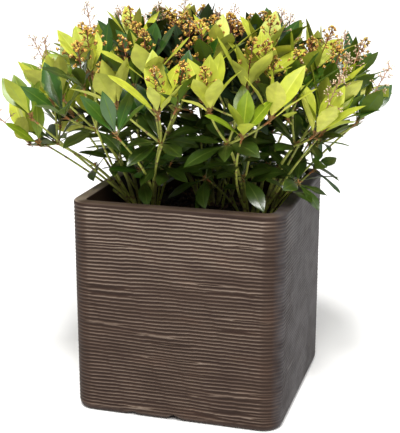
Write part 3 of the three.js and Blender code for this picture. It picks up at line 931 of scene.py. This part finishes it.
dice = make_random(TWIG_SEED)
thin = Piece("twigs", bark)
for curve, radii, red_tip in twigs:
    red_from = 1 - RED_TIP / float(np.linalg.norm(curve.end - curve.start))
    grow_tube(thin, curve, lambda t, ends=radii: lerp(*ends, t), dice, **TWIG_LOOK,
              red_from=red_from if red_tip else NEVER)
thin.build("bark")


# Small dry scales round each fork and under each rosette
dice = make_random(SCALE_SEED)
piece = Piece("bud_scales", [scale_material])
for point, axis, size, start in buds:
    for i in range(SCALES):
        foot = point + axis * (lerp(*SCALE_ROWS, i / (SCALES - 1)) * size)
        scale = Leaf(foot, axis, start + i * GOLDEN_ANGLE,
                     radians(lerp(*SCALE_ANGLES, dice())),
                     size * lerp(*SCALE_LENGTHS, dice()))
        base = foot + (scale.direction * 0.5)
        half = scale.side * (scale.length * 0.24)
        middle = base + scale.direction * scale.length * 0.5
        tip = base + scale.direction * scale.length - scale.face * 1.2
        thick = scale.face * 0.5
        points = (base + thick, middle + half, tip, middle - half, base - thick * 2,
                  middle + thick * 1.4)
        piece.add(points, SCALE_FACES)
piece.build("bark", smooth=False)

# ---- panicles

stalk_materials = [plain_material(*look) for look in (
    ("stalk_dark", (0.22, 0.065, 0.022), 0.6, 0.25, 120),
    ("stalk_pale", (0.46, 0.25, 0.16), 0.6, 0.25, 120))]
bud_materials = [plain_material(*look) for look in (
    ("bud_orange", (0.58, 0.30, 0.05), 0.5, 0.3, 300),
    ("bud_brown", (0.27, 0.115, 0.03), 0.55, 0.3, 300),
    ("bud_yellow", (0.80, 0.60, 0.11), 0.5, 0.25, 300),
    ("bud_pale", (0.76, 0.60, 0.42), 0.6, 0.2, 300))]
PALE = 3
BUD_LIMITS = ((0.44, 0), (0.64, 1), (0.95, 2), (1, PALE))
# Length, bud radius, branches, buds on each, width and how far the buds stand off the branch
FRESH = ((78, 96), (1.3, 1.6), 14, 9, (15, 19), (1.2, 4.2))
SPENT = ((88, 106), (1.25, 1.25), 10, 5, (16, 21), (3.0, 7.0))
MAIN_STALK_RADIUS = 1.5
BRANCH_RADIUS = 0.7
BUD_STALK_RADIUS = 0.42
BRANCH_PLACES = (0.54, 0.96)
BRANCH_ANGLES = (80, 28)
SHORTEST_PANICLE = 34


# The corners and faces of an icosahedron
G = (1 + sqrt(5)) / 2
BALL_POINTS = np.array([(-1, G, 0), (1, G, 0), (-1, -G, 0), (1, -G, 0), (0, -1, G), (0, 1, G),
                        (0, -1, -G), (0, 1, -G), (G, 0, -1), (G, 0, 1), (-G, 0, -1),
                        (-G, 0, 1)]) / sqrt(1 + G * G)
BALL_FACES = ((0, 11, 5), (0, 5, 1), (0, 1, 7), (0, 7, 10), (0, 10, 11), (1, 5, 9), (5, 11, 4),
              (11, 10, 2), (10, 7, 6), (7, 1, 8), (3, 9, 4), (3, 4, 2), (3, 2, 6), (3, 6, 8),
              (3, 8, 9), (4, 9, 5), (2, 4, 11), (6, 2, 10), (8, 6, 7), (9, 8, 1))


def add_bud(piece, centre, axis, radius, slot):
    stretched = BALL_POINTS + np.outer(BALL_POINTS @ axis, axis) * 0.25
    piece.add(centre + stretched * radius, BALL_FACES, slot)


def add_stalk(piece, start, end, radius, spent):
    tube(piece, [start, end], [unit(end - start)] * 2, [radius, radius * 0.7], 3,
         [int(spent)] * 2)


def add_panicle(stalks, bud_piece, root, axis, start, spent, size):
    """A cone of small buds on a branched stalk, or the open skeleton of a spent one."""
    dice = make_random(int(1 + abs(root[0] * 91 + root[1] * 57 + root[2] * 13)) + 17)
    lengths, radii, branches, bud_count, widths, away = SPENT if spent else FRESH
    length = lerp(*lengths, size)
    outermost = 1
    if spent and share_aside(root) > SIDE_SHARE:
        length += SIDE_SPENT_EXTRA
        outermost = SIDE_SPENT_REACH
    while crown_share(root + axis * (length + 5)) > outermost and length > SHORTEST_PANICLE:
        length -= 3
    top = root + axis * length
    radius = lerp(*radii, size)
    width = lerp(*widths, size)
    add_stalk(stalks, root, top, MAIN_STALK_RADIUS, spent)
    for i in range(branches + 1):
        share = i / branches
        angle = radians(lerp(*BRANCH_ANGLES, share) + 14 * (dice() - 0.5))
        reach = lerp(width, width * 0.45, share ** 1.4) * lerp(0.8, 1.2, dice())
        foot = lerp(root, top, lerp(*BRANCH_PLACES, share))
        branch = Leaf(foot, axis, start + i * GOLDEN_ANGLE, angle, reach)
        end = foot + branch.direction * reach
        add_stalk(stalks, foot, end, BRANCH_RADIUS, spent)
        for j in range(bud_count):
            spread = Leaf(end, branch.direction, j * GOLDEN_ANGLE * 1.7 + dice(),
                          radians(lerp(10, 100, dice())), 1)
            centre = end + spread.direction * lerp(*away, dice())
            add_stalk(stalks, lerp(foot, end, 0.75), centre, BUD_STALK_RADIUS, spent)
            slot = PALE if spent else pick(dice(), BUD_LIMITS)
            add_bud(bud_piece, centre, spread.direction, radius * lerp(0.8, 1.2, dice()), slot)


stalks = Piece("panicle_stalks", stalk_materials)
fresh_buds = Piece("panicle_buds", bud_materials)
spent_buds = Piece("spent_buds", bud_materials)
for end, axis, start, spent, size in panicles:
    add_panicle(stalks, spent_buds if spent else fresh_buds, end, axis, start, spent, size)
for piece in (stalks, fresh_buds, spent_buds):
    piece.build("foliage")

# ---- planter

RIB_PERIOD = 6.9
RIB_DEPTH = 1.5
RIB_FOOT = 3
RIB_TOP = 411
RIB_SHARPNESS = (1.9, 0.95)
RIB_FADE_RIGHT = 0.6
RIB_FADE_CORNER = 0.45
# Waves in the ribs' lines: turns round the planter, height of a turn and size
RIB_WAVES = ((2, 420, 0.20), (3, 330, 0.16), (5, 260, 0.10), (8, 190, 0.06), (13, 150, 0.035),
             (21, 110, 0.03), (34, 80, 0.025), (55, 60, 0.025), (89, 45, 0.02))
RIB_SPLITS = 84
RIB_SPLIT_HALF = (9, 46)
RIB_STRETCH = 13
RIB_SEED = 31337
SQUARE = np.array(((1, 1), (-1, 1), (-1, -1), (1, -1)))
STRAIGHT_STEPS = 44
CORNER_STEPS = 8
ROW_STEP = 1.2
ROUNDING_STEPS = 5
# Place along the front and height of the dents in the foot
FOOT_DENTS = ((-83, 6), (-1, 13))
DENT_WIDTH = 8
# The relief where the wall below the rim has no ribs: dark as painted shade for the inside wall,
# and it also darkens the foot, corners and right side where the ribs fade
WALL_PAINTED_SHADE = 0.15
RIM_RELIEF = 0.55
# Painted light: how much lighter the rim top is on the left side
RIM_PAINTED_LIGHT_LEFT = 0.42
# How much of the right side's warm tone gives way to a cool grey of painted sheen
RIGHT_PAINTED_SHEEN_SHARE = 0.72
# How the relief's tone scales from the lower wall to the upper: darker towards the bottom
RELIEF_BY_HEIGHT = (0.80, 0.96)


def outline_points(inset):
    """Points and outward normals round the planter's rounded square."""
    radius = max(POT_CORNER_RADIUS - inset, 4)
    centres = SQUARE * (POT_WIDTH / 2 - inset - radius)
    places, turns = [], []
    for quarter, (centre, ahead) in enumerate(zip(centres, np.roll(centres, -1, axis=0))):
        places += [centre] * CORNER_STEPS
        turns += [quarter + i / CORNER_STEPS for i in range(CORNER_STEPS)]
        places += [lerp(centre, ahead, i / STRAIGHT_STEPS) for i in range(STRAIGHT_STEPS)]
        turns += [quarter + 1] * STRAIGHT_STEPS
    angles = pi / 2 * np.array(turns)
    normals = np.column_stack((np.cos(angles), np.sin(angles)))
    return np.array(places) + normals * radius, normals


def rise(value, start, width):
    """0 up to the start, and 1 from the start plus the width on."""
    return np.clip((value - start) / width, 0, 1)


def rib_field(around, length, heights):
    """How far the ribs stand out, 0 in a groove and 1 on a crest, and how strong they are."""
    dice = make_random(RIB_SEED)
    s, z = around[None, :], heights[:, None]
    phase = z / RIB_PERIOD + np.zeros_like(s)
    for turns, height, size in RIB_WAVES:
        phase = phase + size * np.sin(tau * (turns * s / length + z / height + dice()))
    place = pi * (s + 1j * RIB_STRETCH * z) / length
    for _ in range(RIB_SPLITS):
        centre = dice() * length + 1j * RIB_STRETCH * lerp(RIB_FOOT, RIB_TOP, dice())
        half = lerp(*RIB_SPLIT_HALF, dice()) * (1 if dice() < 0.5 else -1)
        starts = np.sin(place - pi * (centre - half) / length)
        stops = np.sin(place - pi * (centre + half) / length)
        phase = phase + np.angle(starts / stops) / tau
    ridge = (0.5 + 0.5 * np.cos(tau * phase)) ** lerp(*RIB_SHARPNESS, rise(z, 120, 260))
    strength = 1 + 0.15 * np.sin(tau * (4 * s / length + z / 120)) * np.sin(tau * z / 77)
    return ridge, strength * (rise(z, RIB_FOOT, 8) * rise(RIB_TOP - z, 0, 2))


def attribute_value(tree, name):
    node = add_node(tree, "Attribute")
    node.attribute_name = name
    return node.outputs["Fac"]


def pot_material():
    """Pale crests over dark brown grooves, partly the planter's own tone and partly painted
    highlight and painted shade, and a cooler, smoother grey on the right side that is painted
    sheen.
    """
    material, tree, shader = node_material("pot_composite", 0.6)
    # The relief ramp: the dark grooves are partly painted shade and the pale crests partly
    # painted highlight
    ribs = ramp(tree, attribute_value(tree, "relief"), [
        (0.0, (0.022, 0.011, 0.007)), (0.35, (0.040, 0.023, 0.016)),
        (0.65, (0.101, 0.074, 0.057)), (1.0, (0.36, 0.307, 0.258))])
    cloud = noise(tree, 14, 6, (1, 1, 2.5))
    tint = ramp(tree, cloud, [(0.30, (0.74, 0.66, 0.62)), (0.55, (1.0, 0.95, 0.91)),
                              (0.75, (1.15, 1.04, 0.97))])
    warm = mix_colours(tree, "MULTIPLY", 1.0, ribs, tint)
    # Painted sheen: a cool grey standing in for the light on the planter's right side
    painted_sheen_grey = ramp(tree, noise(tree, 22, 7, (1, 1, 1.6)), [
        (0.36, (0.022, 0.019, 0.022)), (0.64, (0.068, 0.064, 0.069))])
    colour = mix_colours(tree, "MIX", attribute_value(tree, "warm_vs_painted_sheen"), painted_sheen_grey, warm)
    set_inputs(tree, shader, {"Base Color": colour, "Specular IOR Level": 0.2})
    bump(tree, shader, noise(tree, 420, 4, (1, 1, 3)), 0.5, 0.0005)
    return material


def pot_profile():
    """Inset and height of each row, and how many rows there are up to the rim.

    The rows run up the outside, over the rim and down the inside to the floor.
    """
    foot, rim, inner = POT_FOOT_ROUNDING, POT_RIM_ROUNDING, POT_WALL - 3
    turns = [pi / 2 * step / ROUNDING_STEPS for step in range(ROUNDING_STEPS)]
    profile = [(foot * (1 - sin(t)), foot * (1 - cos(t))) for t in turns]
    profile += [(0.0, float(z)) for z in np.arange(foot, POT_HEIGHT - rim, ROW_STEP)]
    outside = len(profile)
    turns = [pi / 2 * step / (ROUNDING_STEPS - 1) for step in range(ROUNDING_STEPS)]
    profile += [(rim * (1 - cos(t)), POT_HEIGHT - rim + rim * sin(t)) for t in turns]
    profile += [(rim + (inner - rim) / 2, POT_HEIGHT), (inner, POT_HEIGHT),
                (inner + 2, POT_HEIGHT - 1), (inner + 3, POT_HEIGHT - 3),
                (inner + 3.2, SOIL_LEVEL), (inner + 3.2, POT_FLOOR + 1)]
    return profile, outside


def foot_lift(base, normals, z):
    """How far the dents lift each point of a row in the planter's foot."""
    lift = np.zeros(len(base))
    if z < POT_FOOT_ROUNDING:
        front = (base[:, 1] < 0) & (normals[:, 1] < -0.9)
        for place, size in FOOT_DENTS:
            dent = size * np.exp(-((base[:, 0] - place) / DENT_WIDTH) ** 2) * front
            lift += dent * (1 - z / POT_FOOT_ROUNDING)
    return lift


def build_pot():
    """The ribbed shell, with its relief (partly painted shade and highlight) and its share of
    warm tone against the right side's painted sheen as point attributes.
    """
    outer, normals = outline_points(0)
    gaps = np.linalg.norm(np.roll(outer, -1, axis=0) - outer, axis=1)
    around = np.concatenate(([0], np.cumsum(gaps)[:-1]))
    profile, outside = pot_profile()
    heights = np.array([z for _, z in profile])
    ridge, strength = rib_field(around, float(gaps.sum()), heights)
    corner = np.abs(normals).min(axis=1) * sqrt(2)
    right = rise(normals[:, 0], 0.55, 0.4)
    away = rise(outer[:, 1] + POT_WIDTH / 2, POT_CORNER_RADIUS, 90)
    strength *= 1 - RIB_FADE_CORNER * corner ** 0.5
    strength *= 1 - RIB_FADE_RIGHT * right * away
    strength[outside:] = 0
    # The rim top's tone, with painted light lifting it on the left side
    rim_tone_and_painted_light = RIM_RELIEF + rise(-normals[:, 0], 0.3, 0.5) * RIM_PAINTED_LIGHT_LEFT
    rows, relief = [], []
    for k, (inset, z) in enumerate(profile):
        base, _ = outline_points(inset)
        row = base + normals * (strength[k] * (ridge[k] - 1) * RIB_DEPTH)[:, None]
        rows.append(np.column_stack((row, np.full(len(base), z) + foot_lift(base, normals, z))))
        # Rows below the rim without ribs take the painted shade; the rim top takes its own tone
        # with painted light on the left
        plain = rim_tone_and_painted_light if z > POT_HEIGHT - 2 else WALL_PAINTED_SHADE
        # Darker towards the bottom of the wall
        height_tone = lerp(*RELIEF_BY_HEIGHT, rise(z, 250, 150))
        relief.append(lerp(plain, ridge[k], np.clip(strength[k], 0, 1)) * height_tone)
    columns = len(outer)
    last = (len(rows) - 1) * columns
    under, inside = last + columns, last + columns + 1
    faces = bands(len(rows), columns)
    for i in range(columns):
        j = (i + 1) % columns
        faces += [(j, i, under), (last + i, last + j, inside)]
    piece = Piece("pot_ribbed", [pot_material()])
    piece.add(np.concatenate(rows + [[(0, 0, 0), (0, 0, POT_FLOOR + 1)]]), faces)
    middles = [np.array((0.5, 0.3))]
    # The relief carries painted shade and highlight; the warm share gives way to painted sheen on
    # the right side
    piece.build("pot", "pot", attributes={
        "relief": np.concatenate(relief + middles),
        "warm_vs_painted_sheen": np.concatenate([1 - RIGHT_PAINTED_SHEEN_SHARE * right] * len(rows) + middles)})


build_pot()

# ---- potting mix

MIX_GAP = 1
MIX_CELLS = 44
MIX_SINK = 4
MIX_WAVES = 26
MIX_WAVE_HEIGHT = 0.55
CHIPS = 620
CHIP_ROOM = 9
CHIP_HALVES = ((4, 11), (2, 5), (1, 2.4))
CHIP_TILT = 0.7
SOIL_SEED = 1213
BOX_CORNERS = [(x, y, z) for z in (-1, 1) for x, y in ((-1, -1), (1, -1), (1, 1), (-1, 1))]
BOX_FACES = ((3, 2, 1, 0), (4, 5, 6, 7), (0, 1, 5, 4), (1, 2, 6, 5), (2, 3, 7, 6), (3, 0, 4, 7))


def add_mix_block(piece, half, dice):
    """A block with a lumpy top that fills the planter."""
    line = np.linspace(-half, half, MIX_CELLS + 1)
    x, y = np.meshgrid(line, line)
    lumps = np.zeros_like(x)
    for _ in range(MIX_WAVES):
        along_x, along_y = (dice() - 0.5) * 0.35, (dice() - 0.5) * 0.35
        lumps += np.sin(x * along_x + y * along_y + dice() * tau) * MIX_WAVE_HEIGHT
    z = SOIL_LEVEL - MIX_SINK + np.clip(lumps, -MIX_SINK, MIX_SINK)
    top = np.column_stack((x.ravel(), y.ravel(), z.ravel()))
    base = top.copy()
    base[:, 2] = POT_FLOOR + 2
    step, count = MIX_CELLS + 1, len(top)
    faces = [(a, a + 1, a + step + 1, a + step)
             for r in range(MIX_CELLS) for a in range(r * step, r * step + MIX_CELLS)]
    corners = (0, MIX_CELLS, count - 1, count - step)
    rim = [a for a, b, stride in zip(corners, corners[1:] + corners[:1], (1, step, -1, -step))
           for a in range(a, b, stride)]
    faces += [(b, a, a + count, b + count) for a, b in zip(rim, rim[1:] + rim[:1])]
    faces.append(tuple(index + count for index in rim[::-1]))
    piece.add(np.concatenate((top, base)), faces)


def add_chip(piece, reach, dice):
    """A rough piece of bark, tilted where it lies on the mix."""
    centre = np.array(((dice() - 0.5) * 2 * reach, (dice() - 0.5) * 2 * reach,
                       SOIL_LEVEL - 3 + 4 * dice()))
    halves = np.array([lerp(*limits, dice()) for limits in CHIP_HALVES])
    tilt = Euler((dice() * CHIP_TILT, dice() * CHIP_TILT, dice() * tau)).to_matrix()
    corners = []
    for corner in BOX_CORNERS:
        narrowing = 1 - 0.4 * dice()
        corners.append(centre + np.array(tilt) @ (halves * corner * (narrowing, narrowing, 1)))
    piece.add(corners, BOX_FACES, 1 if dice() < 0.6 else 0)


dice = make_random(SOIL_SEED)
piece = Piece("potting_mix", [
    plain_material("mix_dark", (0.022, 0.014, 0.010), 0.95, 0.5, 90, 0.002),
    plain_material("mix_chip", (0.085, 0.045, 0.026), 0.9, 0.4, 120, 0.001)])
half = POT_WIDTH / 2 - POT_WALL - MIX_GAP
add_mix_block(piece, half, dice)
for _ in range(CHIPS):
    add_chip(piece, half - CHIP_ROOM, dice)
piece.build("mix", "soil", smooth=False)

# ---- floor, light, camera

FLOOR_HALF_M = 60
# Direction, spread in degrees, strength and colour of each sun
LIGHTS = {
    "key": ((0.40, -1.5, 1.8), 28, 2.9, (1.0, 0.985, 0.96)),
    "sparkle": ((0.15, -1.0, 2.3), 10, 1.7, (1.0, 0.99, 0.97)),
    "fill": ((2.2, -0.2, 1.6), 70, 0.5, (0.97, 0.98, 1.0)),
}
WORLD_STRENGTH = 0.23
IMAGE_HEIGHT_PX = 433
FOCAL_PX = 1070.921
SENSOR_MM = 36.0
CAMERA_PLACE = (0.560977, -1.936845, 0.900205)
CAMERA_DIP = 15.413
CAMERA_TURN = 16.349


def add_sun(name, direction, spread, strength, colour):
    light = bpy.data.lights.new(name, "SUN")
    light.energy = strength
    light.angle = radians(spread)
    light.color = colour
    lamp = add_object(name, light)
    lamp.rotation_euler = Vector(direction).to_track_quat("Z", "Y").to_euler()


mesh = bpy.data.meshes.new("floor")
mesh.from_pydata([(x * FLOOR_HALF_M, y * FLOOR_HALF_M, 0) for x, y, _ in BOX_CORNERS[:4]],
                 [], [(0, 1, 2, 3)])
floor = add_object("floor", mesh)
material, tree, shader = node_material("floor_pale", 0.9)
set_inputs(tree, shader, {"Base Color": (0.97, 0.97, 0.97, 1)})
mesh.materials.append(material)

for name, look in LIGHTS.items():
    add_sun(name, *look)

scene = bpy.context.scene
scene.world = bpy.data.worlds.new("studio")
scene.world.use_nodes = True
tree = scene.world.node_tree
set_inputs(tree, tree.nodes["Background"],
           {"Color": (1.0, 1.0, 1.0, 1), "Strength": WORLD_STRENGTH})

# The camera that the planter's edges in the photo were fitted to
lens = bpy.data.cameras.new("camera")
lens.sensor_width = SENSOR_MM
lens.lens = FOCAL_PX / IMAGE_HEIGHT_PX * SENSOR_MM
lens.clip_end = 50
scene.camera = add_object("camera", lens)
scene.camera.location = CAMERA_PLACE
scene.camera.rotation_euler = Euler((radians(90 - CAMERA_DIP), 0, radians(CAMERA_TURN)))
scene.view_settings.view_transform = "Standard"

bpy.context.view_layer.update()
